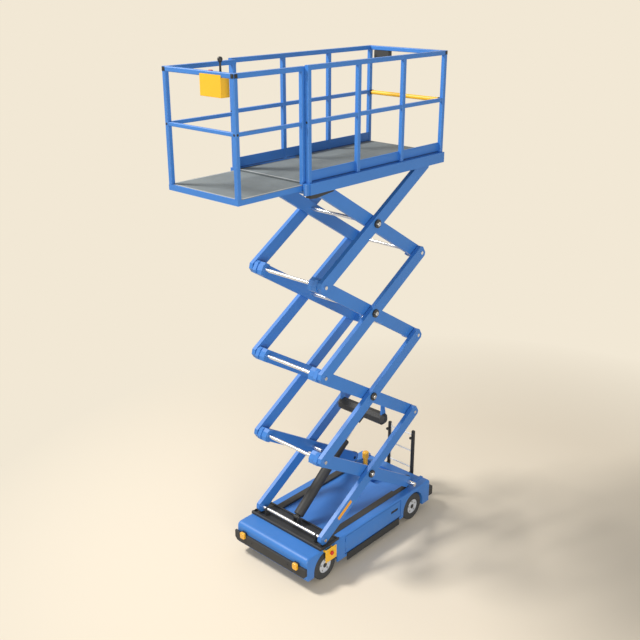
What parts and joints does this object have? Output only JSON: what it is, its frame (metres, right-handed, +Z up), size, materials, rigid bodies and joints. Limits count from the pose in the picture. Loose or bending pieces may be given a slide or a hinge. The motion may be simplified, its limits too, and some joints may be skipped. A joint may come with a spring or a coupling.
{
  "type": "scissor lift",
  "caption": "Four-stage electric scissor lift with guarded platform, roll-out deck, lift cylinder, ladder and steered front wheels, platform raised.",
  "frame": {"origin": "on the floor, on the centre plane, half way between the axles", "axes": "+X towards the roll-out deck end, +Y to the left side, +Z up"},
  "size_m": [3.2445, 1.254, 5.9424],
  "materials": {
    "blue_paint": "satin",
    "charcoal_paint": "satin",
    "chrome_steel": "polished",
    "amber_lens": "glossy",
    "yellow_paint": "satin",
    "red_plastic": "glossy",
    "black_plastic": "matte",
    "grey_deck": "matte",
    "tyre": "matte",
    "rim_paint": "satin"
  },
  "bodies": {
    "chassis": {"chassis_body": "blue_paint", "batteries": "black_plastic", "guide_rails": "charcoal_paint", "front_channel": "charcoal_paint", "base_shaft": "chrome_steel", "bumpers": "charcoal_paint", "amber_lamps": "amber_lens", "ladder": "charcoal_paint", "side_skirts": "charcoal_paint", "control_plate": "yellow_paint", "stop_button": "red_plastic", "axle_brackets": "charcoal_paint"},
    "door_left": {"side_door_left": "blue_paint"},
    "door_right": {"side_door_right": "blue_paint"},
    "knuckle_left": {"knuckle_left": "charcoal_paint"},
    "knuckle_right": {"knuckle_right": "charcoal_paint"},
    "wheel_front_left": {"tyre_front_left": "tyre", "rim_front_left": "rim_paint"},
    "wheel_front_right": {"tyre_front_right": "tyre", "rim_front_right": "rim_paint"},
    "wheel_rear_left": {"tyre_rear_left": "tyre", "rim_rear_left": "rim_paint"},
    "wheel_rear_right": {"tyre_rear_right": "tyre", "rim_rear_right": "rim_paint"},
    "outer_1": {"outer_arms_1": "blue_paint", "rear_shaft_1": "chrome_steel"},
    "inner_1": {"inner_arms_1": "blue_paint", "front_shaft_1": "chrome_steel", "foot_shaft": "chrome_steel"},
    "outer_2": {"outer_arms_2": "blue_paint", "rear_shaft_2": "chrome_steel"},
    "inner_2": {"inner_arms_2": "blue_paint", "front_shaft_2": "chrome_steel", "lift_crossbeam": "charcoal_paint"},
    "outer_3": {"outer_arms_3": "blue_paint", "rear_shaft_3": "chrome_steel"},
    "inner_3": {"inner_arms_3": "blue_paint", "front_shaft_3": "chrome_steel"},
    "outer_4": {"outer_arms_4": "blue_paint", "rear_shaft_4": "chrome_steel"},
    "inner_4": {"inner_arms_4": "blue_paint", "front_shaft_4": "chrome_steel"},
    "platform": {"platform_frame": "blue_paint", "platform_floor": "grey_deck", "guardrails": "blue_paint", "toe_boards": "blue_paint", "platform_brackets": "charcoal_paint", "document_box": "charcoal_paint"},
    "entry_bar": {"entry_bar": "yellow_paint"},
    "deck": {"deck_frame": "blue_paint", "deck_floor": "grey_deck", "deck_rails": "blue_paint", "control_box": "yellow_paint", "joystick": "black_plastic"},
    "barrel": {"cylinder_barrel": "charcoal_paint"},
    "rod": {"cylinder_rod": "chrome_steel"}
  },
  "joints": [
    {"name": "lift", "type": "hinge", "parent": "chassis", "child": "outer_1", "pos_m": [0.815, 0, 0.507], "axis": [0, 1, 0], "range_deg": [-27.2, 28.2]},
    {"name": "inner_1_pivot", "type": "hinge", "parent": "outer_1", "child": "inner_1", "pos_m": [-0.01474, 0, 1.02186], "axis": [0, 1, 0], "range_deg": [-56.45, 54.45]},
    {"name": "outer_2_pivot", "type": "hinge", "parent": "inner_1", "child": "outer_2", "pos_m": [0.815, 0, 1.53672], "axis": [0, 1, 0], "range_deg": [-54.45, 56.45]},
    {"name": "inner_2_pivot", "type": "hinge", "parent": "outer_2", "child": "inner_2", "pos_m": [-0.01474, 0, 2.05159], "axis": [0, 1, 0], "range_deg": [-56.45, 54.45]},
    {"name": "outer_3_pivot", "type": "hinge", "parent": "inner_2", "child": "outer_3", "pos_m": [0.815, 0, 2.56645], "axis": [0, 1, 0], "range_deg": [-54.45, 56.45]},
    {"name": "inner_3_pivot", "type": "hinge", "parent": "outer_3", "child": "inner_3", "pos_m": [-0.01474, 0, 3.08131], "axis": [0, 1, 0], "range_deg": [-56.45, 54.45]},
    {"name": "outer_4_pivot", "type": "hinge", "parent": "inner_3", "child": "outer_4", "pos_m": [0.815, 0, 3.59617], "axis": [0, 1, 0], "range_deg": [-54.45, 56.45]},
    {"name": "inner_4_pivot", "type": "hinge", "parent": "outer_4", "child": "inner_4", "pos_m": [-0.01474, 0, 4.11103], "axis": [0, 1, 0], "range_deg": [-56.45, 54.45]},
    {"name": "platform_pivot", "type": "hinge", "parent": "inner_4", "child": "platform", "pos_m": [0.815, 0, 4.6259], "axis": [0, 1, 0], "range_deg": [-27.25, 28.25]},
    {"name": "barrel_pivot", "type": "hinge", "parent": "chassis", "child": "barrel", "pos_m": [0.715, 0, 0.525], "axis": [0, 1, 0], "range_deg": [-38.67, 40.09]},
    {"name": "rod_slide", "type": "slide", "parent": "barrel", "child": "rod", "axis": [-0.7713, 0, 0.6365], "range_m": [-0.227, 0.2353]},
    {"name": "deck_slide", "type": "slide", "parent": "platform", "child": "deck", "axis": [1, 0, 0], "range_m": [-0.875, 0]},
    {"name": "entry_bar_slide", "type": "slide", "parent": "platform", "child": "entry_bar", "axis": [0, 0, 1], "range_m": [0, 0.33]},
    {"name": "door_left_hinge", "type": "hinge", "parent": "chassis", "child": "door_left", "pos_m": [0.4885, 0.583, 0.275], "axis": [0, 0, -1], "range_deg": [0, 100]},
    {"name": "door_right_hinge", "type": "hinge", "parent": "chassis", "child": "door_right", "pos_m": [0.4885, -0.583, 0.275], "axis": [0, 0, 1], "range_deg": [0, 100]},
    {"name": "steer_left", "type": "hinge", "parent": "chassis", "child": "knuckle_left", "pos_m": [0.835, 0.425, 0.182], "axis": [0, 0, 1], "range_deg": [-30, 30]},
    {"name": "steer_right", "type": "hinge", "parent": "chassis", "child": "knuckle_right", "pos_m": [0.835, -0.425, 0.182], "axis": [0, 0, 1], "range_deg": [-30, 30]},
    {"name": "front_left_spin", "type": "hinge", "parent": "knuckle_left", "child": "wheel_front_left", "pos_m": [0.835, 0.517, 0.182], "axis": [0, 1, 0], "continuous": true},
    {"name": "front_right_spin", "type": "hinge", "parent": "knuckle_right", "child": "wheel_front_right", "pos_m": [0.835, -0.517, 0.182], "axis": [0, 1, 0], "continuous": true},
    {"name": "rear_left_spin", "type": "hinge", "parent": "chassis", "child": "wheel_rear_left", "pos_m": [-0.835, 0.517, 0.182], "axis": [0, 1, 0], "continuous": true},
    {"name": "rear_right_spin", "type": "hinge", "parent": "chassis", "child": "wheel_rear_right", "pos_m": [-0.835, -0.517, 0.182], "axis": [0, 1, 0], "continuous": true}
  ],
  "couplings": [
    {"joint": "inner_1_pivot", "follows": "lift", "ratio": -2},
    {"joint": "outer_2_pivot", "follows": "lift", "ratio": 2},
    {"joint": "inner_2_pivot", "follows": "lift", "ratio": -2},
    {"joint": "outer_3_pivot", "follows": "lift", "ratio": 2},
    {"joint": "inner_3_pivot", "follows": "lift", "ratio": -2},
    {"joint": "outer_4_pivot", "follows": "lift", "ratio": 2},
    {"joint": "inner_4_pivot", "follows": "lift", "ratio": -2},
    {"joint": "platform_pivot", "follows": "lift", "ratio": 1},
    {"joint": "barrel_pivot", "follows": "lift", "ratio": 1.42},
    {"joint": "rod_slide", "follows": "lift", "m_per_rad": 0.474},
    {"joint": "steer_right", "follows": "steer_left", "ratio": 1}
  ]
}
